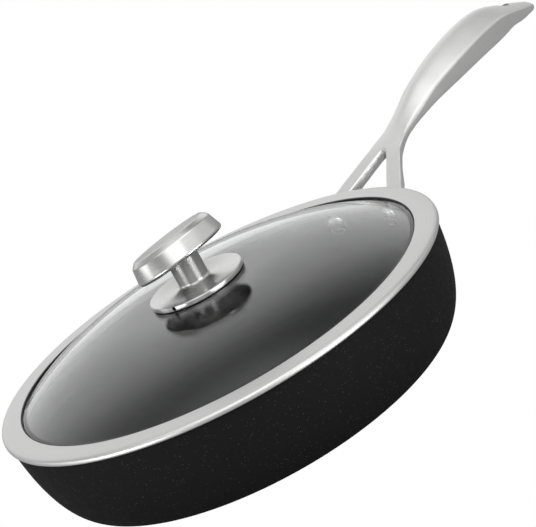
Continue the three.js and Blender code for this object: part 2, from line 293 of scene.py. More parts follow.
# Floor and studio: patches are azimuth, elevation, radii of the even middle and the edge, gain
WHITE = (1.0, 1.0, 1.0, 1.0)
FLOOR_HALF = 12.0
FLOOR_GREY = 0.25
FLOOR_WHITE = 1.0
FLOOR_WHITE_OFF_METAL = 0.06
STUDIO_GREY = 0.45
STUDIO_PATCHES = (
    (180.0, 18.0, 18.0, 44.0, 0.54),
    (0.0, 80.0, 14.0, 40.0, 0.6),
    (40.0, 48.0, 16.0, 40.0, 0.55),
    (-10.0, 34.0, 14.0, 28.0, 1.2),
    (-45.0, 62.0, 14.0, 34.0, 0.5),
    (80.0, 62.0, 12.0, 30.0, 0.35),
    (95.0, 14.0, 14.0, 34.0, 0.3),
    (-102.0, 0.0, 10.0, 20.0, 1.7),
    (140.0, 48.0, 8.0, 26.0, -0.16),
    (-60.0, 20.0, 6.0, 18.0, -0.2),
    (-8.0, 2.0, 6.0, 20.0, -0.3),
)
# Lamps: azimuth, elevation, distance, width, height, power, and whether metal and glass mirror them
LAMP_TARGET = 0.05
LAMPS = {
    "key": (-35.0, 50.0, 1.6, 0.9, 0.9, 9.0, False),
    "side": (50.0, 40.0, 1.6, 0.6, 0.9, 4.0, False),
    "low_left": (-60.0, -2.0, 0.6, 0.36, 0.04, 1.0, True),
    "low_right": (38.0, -2.0, 0.6, 0.36, 0.04, 1.3, True),
}


# Nodes, for geometry and shader trees alike
def add(tree, kind, inputs=None, **settings):
    """A node in the tree, with its settings made and its inputs set or linked."""
    node = tree.nodes.new(kind)
    for name, value in settings.items():
        setattr(node, name, value)
    for name, value in (inputs or {}).items():
        if isinstance(value, bpy.types.NodeSocket):
            tree.links.new(value, node.inputs[name])
        else:
            node.inputs[name].default_value = value
    return node


def math_node(tree, operation, first, second):
    return add(tree, "ShaderNodeMath", {0: first, 1: second}, operation=operation).outputs["Value"]


def new_tree(name, inputs):
    """A geometry tree with named inputs, each given with the end of its socket's type."""
    tree = bpy.data.node_groups.new(name, "GeometryNodeTree")
    for label, kind in inputs.items():
        tree.interface.new_socket(label, in_out="INPUT", socket_type="NodeSocket" + kind)
    tree.interface.new_socket("Piece", in_out="OUTPUT", socket_type="NodeSocketGeometry")
    return tree, add(tree, "NodeGroupInput").outputs


def close_tree(tree, geometry, finish):
    """Ends a geometry tree: its instances become real and its finish is set."""
    real = add(tree, "GeometryNodeRealizeInstances", {"Geometry": geometry}).outputs["Geometry"]
    dressed = add(tree, "GeometryNodeSetMaterial", {"Geometry": real, "Material": finish})
    add(tree, "NodeGroupOutput", {"Piece": dressed.outputs["Geometry"]})
    return tree


# Curves in section, as (radius, level) points
def polar(radius, degrees):
    turn = math.radians(degrees)
    return (radius * math.cos(turn), radius * math.sin(turn))


def bezier(steps, *corners):
    """Points along a Bezier curve of any order."""
    points = []
    for turn in np.linspace(0.0, 1.0, steps + 1):
        rest = np.array(corners, float)
        while len(rest) > 1:
            rest = rest[:-1] * (1 - turn) + rest[1:] * turn
        points.append(tuple(rest[0]))
    return points


def arc(radius, level, size, start, end, steps):
    """Points along a circle's arc, with its angles in degrees."""
    turns = np.linspace(start, end, steps + 1)
    return [(radius + x, level + y) for x, y in (polar(size, turn) for turn in turns)]


def rounded(corners):
    """Points of a section from its corners: (radius, level), or with a rounding as a third value."""
    points = []
    for i, (r, z, *rounding) in enumerate(corners):
        if not any(rounding):
            points.append((r, z))
            continue
        size = rounding[0]
        here = np.array((r, z))
        before = np.array(corners[i - 1][:2]) - here
        after = np.array(corners[(i + 1) % len(corners)][:2]) - here
        before /= np.linalg.norm(before)
        after /= np.linalg.norm(after)
        half = math.acos(max(-1.0, min(1.0, before @ after))) / 2
        reach = size / math.tan(half)
        middle = here + (before + after) / np.linalg.norm(before + after) * size / math.sin(half)
        first = here + before * reach - middle
        last = here + after * reach - middle
        for turn in np.linspace(0.0, 1.0, CORNER_STEPS + 1):
            spoke = first * (1 - turn) + last * turn
            points.append(tuple(middle + spoke / np.linalg.norm(spoke) * size))
    return points


def ring_section(inner, outer, bottom, top, size):
    """A flat ring in section, with its outer corners rounded."""
    return [(inner, bottom), (outer, bottom, size), (outer, top, size), (inner, top)]


def offset(points, distance):
    """A run of points moved to the right of the way it runs."""
    run = np.gradient(np.array(points, float), axis=0)
    run /= np.linalg.norm(run, axis=1)[:, None]
    return [(p[0] + t[1] * distance, p[1] - t[0] * distance) for p, t in zip(points, run)]


def wall_curve(inset, bottom):
    """The wall in section, from the flat bottom up to the rim."""
    start = BASE_RADIUS - inset / 2
    return bezier(
        CURVE_STEPS,
        (start, bottom),
        (start + CORNER_REACH, bottom),
        (RIM_RADIUS - WALL_LEAN - inset, RIM_LEVEL - LEAN_DROP),
        (RIM_RADIUS - inset, RIM_LEVEL),
    )


# Objects
def new_piece(name, data):
    piece = bpy.data.objects.new(name, data)
    bpy.context.scene.collection.objects.link(piece)
    return piece


def bake(piece):
    """The evaluated modifiers as the piece's own plain mesh."""
    graph = bpy.context.evaluated_depsgraph_get()
    mesh = bpy.data.meshes.new_from_object(piece.evaluated_get(graph))
    piece.modifiers.clear()
    old = piece.data
    piece.data = mesh
    bpy.data.meshes.remove(old)
    mesh.name = piece.name
    return piece


def face_outward(piece):
    """Closes doubles and turns every face of a closed shell outwards."""
    shell = bmesh.new()
    shell.from_mesh(piece.data)
    bmesh.ops.remove_doubles(shell, verts=shell.verts, dist=DOUBLES_BELOW)
    bmesh.ops.recalc_face_normals(shell, faces=shell.faces)
    if shell.calc_volume(signed=True) < 0:
        bmesh.ops.reverse_faces(shell, faces=shell.faces)
    for face in shell.faces:
        face.smooth = True
    for edge in shell.edges:
        edge.smooth = edge.calc_face_angle(0.0) < math.radians(SMOOTH_BELOW)
    shell.to_mesh(piece.data)
    shell.free()
    return piece


def settle(piece, body, slot, *nodes):
    """Seats a finished piece on its body, in the place of the CAD nodes."""
    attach(piece, body)
    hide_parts(*nodes)


# Turned pieces
def turned_tree():
    """A profile swept once round +Z."""
    inputs = {"Profile": "Geometry", "Steps": "Int", "Finish": "Material"}
    tree, given = new_tree("turned_piece", inputs)
    outline = add(tree, "GeometryNodeMeshToCurve", {"Mesh": given["Profile"]})
    round_way = {"Resolution": given["Steps"], "Radius": SWEEP_RADIUS}
    circle = add(tree, "GeometryNodeCurvePrimitiveCircle", round_way)
    sides = {"Curve": circle.outputs["Curve"], "Profile Curve": outline.outputs["Curve"]}
    sweep = add(tree, "GeometryNodeCurveToMesh", sides)
    seam = {"Geometry": sweep.outputs["Mesh"], "Distance": MERGE_BELOW}
    joined = add(tree, "GeometryNodeMergeByDistance", seam)
    return close_tree(tree, joined.outputs["Geometry"], given["Finish"])


def set_inputs(modifier, values):
    """A node modifier's inputs, by the identifiers of its named sockets."""
    for item in modifier.node_group.interface.items_tree:
        if item.in_out == "INPUT" and item.name in values:
            modifier[item.identifier] = values[item.name]


def turned(name, corners, steps, finish):
    """A turned piece from its section's corners: a run from axis to axis, or else a closed loop."""
    mesh = bpy.data.meshes.new(name)
    profile = rounded(corners)
    places = [(r * MM - SWEEP_RADIUS, -z * MM, 0.0) for r, z in profile]
    count = len(places)
    on_axis = profile[0][0] == 0 and profile[-1][0] == 0
    edges = [(i, (i + 1) % count) for i in range(count - 1 if on_axis else count)]
    mesh.from_pydata(places, edges, [])
    piece = new_piece(name, mesh)
    modifier = piece.modifiers.new("turned", "NODES")
    modifier.node_group = TURNED
    set_inputs(modifier, {"Steps": steps, "Finish": finish})
    return face_outward(bake(piece))


def cut(piece, tool):
    """Takes the tool's volume out of the piece. A tool with a finish leaves it on the cut."""
    modifier = piece.modifiers.new("cut", "BOOLEAN")
    modifier.operation = "DIFFERENCE"
    modifier.solver = "EXACT"
    modifier.material_mode = "TRANSFER" if any(tool.data.materials) else "INDEX"
    modifier.object = tool
    bake(piece)
    bpy.data.objects.remove(tool)
    return face_outward(piece)


def drill(radius, bottom, top, place, finish=None):
    """A round cutter that stands on +Z at a place in plan."""
    profile = [(0.0, bottom), (radius, bottom), (radius, top), (0.0, top)]
    tool = turned("drill", profile, SMALL_STEPS, finish)
    tool.data.transform(Matrix.Translation((place[0] * MM, place[1] * MM, 0.0)))
    return tool


TURNED = turned_tree()


# Finishes
def new_finish(name, constants):
    """A material with one Principled shader and its fixed values on the shader's own sockets."""
    finish = bpy.data.materials.new(name)
    finish.use_nodes = True
    shader = finish.node_tree.nodes["Principled BSDF"]
    for socket, value in constants.items():
        shader.inputs[socket].default_value = value
    return finish, finish.node_tree, shader


def object_place(tree):
    return add(tree, "ShaderNodeTexCoord").outputs["Object"]


def scaled_noise(tree, place, scale, detail=2.0):
    inputs = {"Vector": place, "Scale": scale, "Detail": detail, "Roughness": NOISE_ROUGHNESS}
    return add(tree, "ShaderNodeTexNoise", inputs).outputs["Fac"]


def spread(tree, value, low, high, start=0.3, end=0.7):
    """A value carried from one range to another."""
    inputs = {"Value": value, "From Min": start, "From Max": end, "To Min": low, "To Max": high}
    return add(tree, "ShaderNodeMapRange", inputs).outputs["Result"]


def blend(tree, share, first, second):
    """A colour between two others. The mix node's colour sockets have no names of their own."""
    inputs = {"Factor": share, 6: (*first, 1.0), 7: (*second, 1.0)}
    return add(tree, "ShaderNodeMix", inputs, data_type="RGBA").outputs[2]


def feed(shader, socket, value):
    shader.id_data.links.new(value, shader.inputs[socket])


def turned_lines(tree, place, pitch):
    """Noise drawn out round +Z, as brushing or a lathe leaves it."""
    parts = add(tree, "ShaderNodeSeparateXYZ", {"Vector": place}).outputs
    flat = add(tree, "ShaderNodeCombineXYZ", {"X": parts["X"], "Y": parts["Y"]}).outputs["Vector"]
    radius = add(tree, "ShaderNodeVectorMath", {0: flat}, operation="LENGTH").outputs["Value"]
    way = add(tree, "ShaderNodeVectorMath", {0: flat}, operation="NORMALIZE").outputs["Vector"]
    aim = add(tree, "ShaderNodeSeparateXYZ", {"Vector": way}).outputs
    across = math_node(tree, "ADD", radius, math_node(tree, "MULTIPLY", parts["Z"], LINE_SLANT))
    lines = {
        "X": math_node(tree, "DIVIDE", across, pitch * MM),
        "Y": math_node(tree, "MULTIPLY", aim["X"], LINE_WANDER),
        "Z": math_node(tree, "MULTIPLY", aim["Y"], LINE_WANDER),
    }
    drawn = add(tree, "ShaderNodeCombineXYZ", lines).outputs["Vector"]
    return scaled_noise(tree, drawn, 1.0, 3.0)


def bump(tree, shader, height, strength, depth):
    inputs = {"Height": height, "Strength": strength, "Distance": depth * MM}
    feed(shader, "Normal", add(tree, "ShaderNodeBump", inputs).outputs["Normal"])


def clouded(name, constants, scale, colours, roughness):
    """A finish whose colour and roughness drift with a soft noise."""
    finish, tree, shader = new_finish(name, constants)
    cloud = scaled_noise(tree, object_place(tree), scale)
    feed(shader, "Base Color", blend(tree, spread(tree, cloud, 0.0, 1.0), *colours))
    feed(shader, "Roughness", spread(tree, cloud, *roughness))
    return finish, tree, shader


def black_coat():
    """Matte black non-stick coat with a fine sparkle, mostly on the outside."""
    finish, tree, shader = new_finish("black_coat", {"Metallic": 0.0, "Specular IOR Level": 0.06})
    place = object_place(tree)
    cells = add(tree, "ShaderNodeTexVoronoi", {"Vector": place, "Scale": FLECK_SCALE}).outputs
    tone = add(tree, "ShaderNodeSeparateColor", {"Color": cells["Color"]}).outputs
    near = math_node(tree, "LESS_THAN", cells["Distance"], FLECK_SIZE)
    chosen = math_node(tree, "GREATER_THAN", tone["Red"], FLECK_RARITY)
    face = add(tree, "ShaderNodeTexCoord").outputs["Normal"]
    outward = add(tree, "ShaderNodeVectorMath", {0: place, 1: face}, operation="DOT_PRODUCT")
    shine = spread(tree, outward.outputs["Value"], 0.2, 1.0, *FLECK_OUTSIDE)
    fleck = math_node(tree, "MULTIPLY", math_node(tree, "MULTIPLY", near, chosen), tone["Green"])
    fleck = math_node(tree, "MULTIPLY", fleck, shine)
    feed(shader, "Base Color", blend(tree, fleck, (0.008, 0.008, 0.0082), (0.05, 0.05, 0.05)))
    rough = spread(tree, scaled_noise(tree, place, 160.0), 0.58, 0.68)
    gloss = math_node(tree, "MULTIPLY", fleck, 0.2)
    feed(shader, "Roughness", math_node(tree, "SUBTRACT", rough, gloss))
    bump(tree, shader, scaled_noise(tree, place, 1500.0), 0.1, 0.03)
    return finish


def brushed_steel(name, grey, low, high, pitch, turn=None, anisotropy=0.0):
    """Stainless steel with lines round an axis, which is +Z unless it is turned."""
    constants = {"Metallic": 1.0, "IOR": 2.5, "Anisotropic": anisotropy, "Anisotropic Rotation": 0.25}
    finish, tree, shader = new_finish(name, constants)
    place = object_place(tree)
    if turn:
        inputs = {"Vector": place, **turn}
        place = add(tree, "ShaderNodeMapping", inputs, vector_type="TEXTURE").outputs["Vector"]
    lines = turned_lines(tree, place, pitch)
    dark = tuple(v * LINE_DARK for v in grey)
    feed(shader, "Base Color", blend(tree, spread(tree, lines, 0.0, 1.0), dark, grey))
    cloud = math_node(tree, "MULTIPLY", scaled_noise(tree, place, 60.0), 0.4)
    mixed = math_node(tree, "ADD", lines, cloud)
    feed(shader, "Roughness", spread(tree, mixed, low, high, 0.4, 1.0))
    bump(tree, shader, lines, 0.12, 0.02)
    if anisotropy:
        tangent = add(tree, "ShaderNodeTangent", direction_type="RADIAL", axis="Z")
        feed(shader, "Tangent", tangent.outputs["Tangent"])
    return finish


def cast_steel():
    """Satin cast stainless steel with an even fine grain."""
    finish, tree, shader = new_finish("cast_steel", {"Metallic": 1.0, "IOR": 2.5})
    place = object_place(tree)
    grain = scaled_noise(tree, place, 1800.0, 3.0)
    colours = ((0.73, 0.73, 0.725), (0.82, 0.82, 0.815))
    feed(shader, "Base Color", blend(tree, spread(tree, grain, 0.0, 1.0), *colours))
    fine = math_node(tree, "MULTIPLY", grain, 0.5)
    mixed = math_node(tree, "ADD", scaled_noise(tree, place, 45.0), fine)
    feed(shader, "Roughness", spread(tree, mixed, 0.42, 0.5, 0.45, 1.05))
    bump(tree, shader, grain, 0.15, 0.02)
    return finish


def black_silicone_and_hole_shade():
    """Matte black silicone with a soft bloom, also laid on the walls of the foot's vent bore as painted
    shade in the hole.
    """
    colours = ((0.008, 0.008, 0.009), (0.016, 0.016, 0.017))
    constants = {"Specular IOR Level": 0.35}
    finish, tree, shader = clouded("black_silicone_and_hole_shade", constants, 400.0, colours, (0.55, 0.75))
    bump(tree, shader, scaled_noise(tree, object_place(tree), 3000.0), 0.2, 0.03)
    return finish


def natural_nylon():
    """Milky moulded nylon."""
    colours = ((0.62, 0.62, 0.59), (0.72, 0.72, 0.69))
    return clouded("natural_nylon", {"Specular IOR Level": 0.5}, 300.0, colours, (0.4, 0.52))[0]


def clear_glass():
    """Tempered glass, with the faintest wipe marks."""
    colours = ((0.9, 0.915, 0.912), (0.94, 0.95, 0.947))
    constants = {"Metallic": 0.0, "IOR": 1.46, "Transmission Weight": 1.0}
    return clouded("clear_glass", constants, 35.0, colours, (0.004, 0.02))[0]


# Steels have a colour, their least and most roughness, and the pitch of their lines in millimetres
COAT = black_coat()
DISC_STEEL = brushed_steel("disc_steel", (0.55, 0.55, 0.54), 0.3, 0.42, 0.25)
BAND_STEEL = brushed_steel("band_steel", (0.7, 0.7, 0.695), 0.42, 0.5, 0.2, anisotropy=0.1)
TURNED_STEEL = brushed_steel("turned_steel", (0.44, 0.44, 0.435), 0.42, 0.46, 0.05, anisotropy=0.95)
FOOT_STEEL = brushed_steel("foot_steel", (0.66, 0.66, 0.655), 0.26, 0.3, 0.08, anisotropy=0.8)
RIVET_STEEL = brushed_steel("rivet_steel", (0.92, 0.92, 0.91), 0.24, 0.3, 0.15)
POLISHED_STEEL = brushed_steel("polished_steel", (0.68, 0.68, 0.675), 0.09, 0.15, 0.15)
CAP_TURN = {
    "Location": (0.0, 0.0, CAP_LEVEL * MM),
    "Rotation": (-math.radians(CAP_LEAN), 0.0, 0.0),
}
CAP_STEEL = brushed_steel("cap_steel", (0.7, 0.7, 0.695), 0.24, 0.31, 0.18, CAP_TURN, 0.3)
HANDLE_STEEL = cast_steel()
SILICONE_AND_HOLE_SHADE = black_silicone_and_hole_shade()
NYLON = natural_nylon()
GLASS = clear_glass()


# Pan
def pan_shell():
    """The pan's wall and floor, with a rounded rim and a recess for the disc."""
    corners = [
        (0.0, DISC_THICKNESS),
        (RECESS_RADIUS, DISC_THICKNESS),
        (RECESS_RADIUS, PAN_BOTTOM, RECESS_ROUND),
        *wall_curve(0.0, PAN_BOTTOM)[: 1 - RIM_RUN],
        (RIM_RADIUS, RIM_LEVEL, RIM_ROUND),
        (RIM_RADIUS - WALL, RIM_LEVEL, RIM_ROUND),
        *wall_curve(WALL, FLOOR_LEVEL)[-RIM_RUN::-1],
        (0.0, FLOOR_LEVEL),
    ]
    piece = turned("pan_shell", corners, PAN_STEPS, COAT)
    settle(piece, "pan", "pan_coat", "pan_body")


def base_plate():
    """The disc under the pan, with shallow rings turned in its face."""
    half = GROOVE_WIDTH / 2
    profile = [(0.0, 0.0)]
    for radius in np.arange(GROOVE_FIRST, GROOVE_LAST, GROOVE_PITCH):
        profile += [(radius - half, 0.0), (radius, GROOVE_DEPTH), (radius + half, 0.0)]
    profile += [
        (DISC_RADIUS - DISC_CHAMFER, 0.0),
        (DISC_RADIUS, DISC_CHAMFER),
        (DISC_RADIUS, DISC_THICKNESS),
        (0.0, DISC_THICKNESS),
    ]
    piece = turned("base_plate", profile, PAN_STEPS, DISC_STEEL)
    settle(piece, "pan", "disc_steel", "base_disc")


# Rivets: their axis points out of the wall, and their origin is on the wall's outer face
def rivet_seat():
    """The wall's radius, lean and thickness at the rivets."""
    outer = np.array(wall_curve(0.0, PAN_BOTTOM))
    inner = np.array(wall_curve(WALL, FLOOR_LEVEL))
    radius = np.interp(RIVET_LEVEL, outer[:, 1], outer[:, 0])
    inside = np.interp(RIVET_LEVEL, inner[:, 1], inner[:, 0])
    above = np.interp(RIVET_LEVEL + 1.0, outer[:, 1], outer[:, 0])
    lean = math.atan(above - radius)
    return radius, lean, (radius - inside) * math.cos(lean)


SEAT_RADIUS, SEAT_LEAN, SEAT_WALL = rivet_seat()
SEAT_AZIMUTH = math.asin(RIVET_SPREAD / SEAT_RADIUS)


def rivet_tree():
    """Two rivets on the wall, at the same angle on each side of +X."""
    inputs = {
        "Rivet": "Geometry",
        "Azimuth": "Float",
        "Seat radius": "Float",
        "Seat level": "Float",
        "Wall lean": "Float",
        "Finish": "Material",
    }
    tree, given = new_tree("rivet_pair", inputs)
    index = add(tree, "GeometryNodeInputIndex").outputs["Index"]
    side = math_node(tree, "SUBTRACT", math_node(tree, "MULTIPLY", index, 2.0), 1.0)
    turn = math_node(tree, "MULTIPLY", side, given["Azimuth"])
    along = math_node(tree, "MULTIPLY", math_node(tree, "COSINE", turn, 0.0), given["Seat radius"])
    across = math_node(tree, "MULTIPLY", math_node(tree, "SINE", turn, 0.0), given["Seat radius"])
    spot = add(tree, "ShaderNodeCombineXYZ", {"X": along, "Y": across, "Z": given["Seat level"]})
    pair = add(tree, "GeometryNodePoints", {"Count": 2, "Position": spot.outputs["Vector"]})
    tilt = math_node(tree, "ADD", given["Wall lean"], math.pi / 2)
    aim = add(tree, "ShaderNodeCombineXYZ", {"X": 0.0, "Y": tilt, "Z": turn}).outputs["Vector"]
    copies = {"Points": pair.outputs["Points"], "Instance": given["Rivet"], "Rotation": aim}
    placed = add(tree, "GeometryNodeInstanceOnPoints", copies)
    return close_tree(tree, placed.outputs["Instances"], given["Finish"])


def rivets():
    """Domed heads inside the pan and flat tails on the pads."""
    under = -SEAT_WALL - CONTACT_GAP
    dome = bezier(
        CORNER_STEPS * 2,
        (0.0, under - HEAD_HEIGHT),
        (HEAD_RADIUS * HEAD_FLAT, under - HEAD_HEIGHT),
        (HEAD_RADIUS, under - HEAD_HEIGHT * HEAD_SIDE),
        (HEAD_RADIUS, under - HEAD_EDGE),
    )
    seat = PAD_FRONT - CONTACT_GAP
    corners = [
        *dome,
        (HEAD_RADIUS, under + HEAD_SINK),
        (SHANK_RADIUS, under + HEAD_SINK),
        (SHANK_RADIUS, seat),
        (TAIL_RADIUS, seat),
        (TAIL_RADIUS, seat + TAIL_HEIGHT, TAIL_ROUND),
        (0.0, seat + TAIL_HEIGHT),
    ]
    piece = turned("rivets", corners, SMALL_STEPS, RIVET_STEEL)
    modifier = piece.modifiers.new("pair", "NODES")
    modifier.node_group = rivet_tree()
    inputs = {
        "Azimuth": SEAT_AZIMUTH,
        "Seat radius": SEAT_RADIUS * MM,
        "Seat level": RIVET_LEVEL * MM,
        "Wall lean": SEAT_LEAN,
        "Finish": RIVET_STEEL,
    }
    set_inputs(modifier, inputs)
    bake(piece)
    settle(piece, "pan", "bright_steel", "rivet_left", "rivet_right")


# Handle
def spline(rows, turn):
    """A smooth run through the rows, with turn from 0 at the first to 1 at the last."""
    rows = np.array(rows, float)
    last = len(rows) - 1
    place = min(turn, 1.0) * last
    i = min(int(place), last - 1)
    t = place - i
    before, first, second, after = (rows[min(max(i + k, 0), last)] for k in (-1, 0, 1, 2))
    leave = (second - before) / 2
    arrive = (after - first) / 2
    cubic = 2 * first - 2 * second + leave + arrive
    square = -3 * first + 3 * second - 2 * leave - arrive
    return cubic * t**3 + square * t**2 + leave * t + first


class HandleForm:
    """Half width, crest, thickness, crown and draft of the handle at any X."""

    def __init__(self):
        turns = np.linspace(0.0, 1.0, FORM_SAMPLES)
        rows = np.array([spline(HANDLE_STATIONS, turn) for turn in turns])
        self.x = np.arange(FORM_START, HANDLE_TIP + FORM_STEP / 2, FORM_STEP)
        width, crest, thick = (np.interp(self.x, rows[:, 0], rows[:, k]) for k in (1, 2, 3))
        slab = LEG_ROOT_TOP + LEG_SLOPE * (self.x - RIM_RADIUS)
        grip = self.x >= rows[0, 0]
        self.half = self.eased(width / 2)
        self.crest = self.eased(np.where(grip, crest, slab))
        self.thick = self.eased(np.where(grip, thick, LEG_THICKNESS))

    def eased(self, values):
        """A function of X from values along it, with small kinks smoothed and the ends kept."""
        reach = 3 * EASE_REACH
        steps = np.arange(-reach, reach + 1)
        weights = np.exp(-((steps / EASE_REACH) ** 2) / 2)
        weights /= weights.sum()
        before = 2 * values[0] - values[reach:0:-1]
        after = 2 * values[-1] - values[-2 : -reach - 2 : -1]
        smooth = np.convolve(np.concatenate([before, values, after]), weights, mode="valid")
        return lambda x: float(np.interp(x, self.x, smooth))

    def fork_share(self, x):
        """0 on the legs, 1 on the grip, with a smooth change between them."""
        t = min(max((x - FORK_BLEND) / FORK_BLEND_LENGTH, 0.0), 1.0)
        return t * t * (3 - 2 * t)

    def crown(self, x):
        return CROWN_SHARE * self.fork_share(x) * self.thick(x)

    def roof(self, s):
        """The fall of the top from its rounded crest, 0, to the ridge, 1."""
        whole = math.hypot(1.0, CROWN_ROUND) - CROWN_ROUND
        return (math.hypot(s, CROWN_ROUND) - CROWN_ROUND) / whole

    def draft(self, x):
        return LEG_BELLY_SHARE + (BELLY_SHARE - LEG_BELLY_SHARE) * self.fork_share(x)

    def ridge(self, x):
        """The rounding of the top's edge, which is softest on the neck."""
        return RIDGE_RADIUS + NECK_RIDGE * math.exp(-(((x - NECK) / NECK_LENGTH) ** 2))

    def nose(self, x):
        """How much of the section is left in the rounded end."""
        t = max(0.0, (x - (HANDLE_TIP - NOSE_LENGTH)) / NOSE_LENGTH)
        return math.sqrt(max(0.0, 1 - t * t))

    def point(self, x, s, h):
        """A point of the grip: s from the middle to the ridge, h from the belly to the top."""
        thick = self.thick(x)
        left = self.nose(x)
        draft = self.draft(x)
        narrow = NOSE_WIDTH + (1 - NOSE_WIDTH) * left
        y = s * self.half(x) * (draft + (1 - draft) * h) * narrow
        crest = self.crest(x)
        top = crest - self.crown(x) * self.roof(s)
        belly = crest - thick
        z = belly + h * (top - belly)
        middle = crest - thick * NOSE_DEPTH
        return np.array((x, y, middle + (z - middle) * left))


FORM = HandleForm()


def half_section(width, height, ridge, keel, start):
    """(s, h) places from the inner top, over the ridge and the keel, to the inner belly."""
    ridge_s = ridge / width
    ridge_h = ridge / height
    keel_s = keel / width
    keel_h = keel / height
    quarter = np.linspace(0.0, math.pi / 2, EDGE_POINTS + 1)
    chain = [(s, 1.0) for s in np.linspace(start, 1 - ridge_s, TOP_POINTS + 1)]
    chain += [(1 - ridge_s * (1 - math.sin(t)), 1 - ridge_h * (1 - math.cos(t))) for t in quarter[1:]]
    chain += [(1 - keel_s * (1 - math.cos(t)), keel_h * (1 - math.sin(t))) for t in quarter]
    chain += [(s, 0.0) for s in np.linspace(1 - keel_s, start, BELLY_POINTS + 1)[1:]]
    return chain


def inner_section(width, height, ridge, keel):
    """(s, h) places from the inner belly, up the inner side, to the inner top."""
    quarter = np.linspace(0.0, math.pi / 2, EDGE_POINTS + 1)
    chain = [(keel / width * (1 - math.sin(t)), keel / height * (1 - math.cos(t))) for t in quarter[1:]]
    chain += [
        (ridge / width * (1 - math.cos(t)), 1 - ridge / height * (1 - math.sin(t)))
        for t in quarter[:-1]
    ]
    return chain


def grip_rings():
    """Half rings from the fork to the tip. The first ones bend to a V that fits the crotch."""
    start = FORK_CENTRE + FORK_RADIUS + RIDGE_RADIUS
    nose = HANDLE_TIP - NOSE_LENGTH
    turns = np.linspace(0.0, math.radians(NOSE_TURN), NOSE_RINGS)
    along = [*np.linspace(start, nose, GRIP_RINGS)[:-1], *(nose + NOSE_LENGTH * np.sin(turns))]
    rings = []
    for x in along:
        bend = CHEVRON * max(0.0, 1 - (x - start) / CHEVRON_LENGTH) ** 2
        half = FORM.half(x + bend / 2)
        side = (1 - CROWN_SHARE) * FORM.thick(x + bend / 2)
        ridge = min(FORM.ridge(x), side * RIDGE_SHARE)
        keel = min(KEEL_RADIUS, side * KEEL_SHARE)
        chain = half_section(half, side, ridge, keel, 0.0)
        rings.append([FORM.point(min(x + bend * s, HANDLE_TIP), s, h) for s, h in chain])
    return rings


def crotch_ring():
    """The upright edge where the legs part, from the belly to the top, on the middle plane."""
    apex = FORK_CENTRE + FORK_RADIUS
    height = FORM.thick(apex)
    ring = []
    for s, h in inner_section(1.0, height, RIDGE_RADIUS, RIDGE_RADIUS):
        x = apex + s
        ring.append(np.array((x, 0.0, FORM.point(x, 0.0, h)[2])))
    return ring


def leg_outer(x):
    """The leg's outer edge in plan, which runs on from the grip's outline."""
    join = HANDLE_STATIONS[0][0]
    if x >= join:
        return FORM.half(x)
    root = FORM.half(join)
    return root + (LEG_OUTER_ROOT - root) * (join - x) / (join - RIM_RADIUS)


def fork_point(degrees):
    """A point in plan on the fork's round end."""
    along, across = polar(FORK_RADIUS, degrees)
    return (FORK_CENTRE + along, across)


def leg_corners():
    """Rows of four corners down one leg: top inner, top outer, belly outer, belly inner."""
    inner = [fork_point(degrees) for degrees in np.linspace(0.0, FORK_TOUCH, len(LEG_JOIN) + 1)]
    outer = [(x, leg_outer(x)) for x in (FORK_CENTRE + FORK_RADIUS + CHEVRON, *LEG_JOIN)]
    begin = np.array(inner[-1])
    way = np.array((RIM_RADIUS, LEG_INNER_ROOT)) - begin
    way /= np.linalg.norm(way)
    square = np.array((way[1], -way[0]))
    for run in LEG_RUNS:
        place = begin + way * run
        x = place[0] + square[0] * LEG_WIDTH
        inner.append(tuple(place))
        outer.append((x, leg_outer(x)))
    rows = []
    for near, far in zip(inner, outer):
        crest_near = FORM.crest(near[0])
        crest_far = FORM.crest(far[0])
        under = np.array(near) + (np.array(far) - np.array(near)) * FORM.draft(far[0])
        rows.append(
            [
                (*near, crest_near),
                (*far, crest_far - FORM.crown(far[0])),
                (*under, crest_far - FORM.thick(far[0])),
                (*near, crest_near - FORM.thick(near[0])),
            ]
        )
    return rows


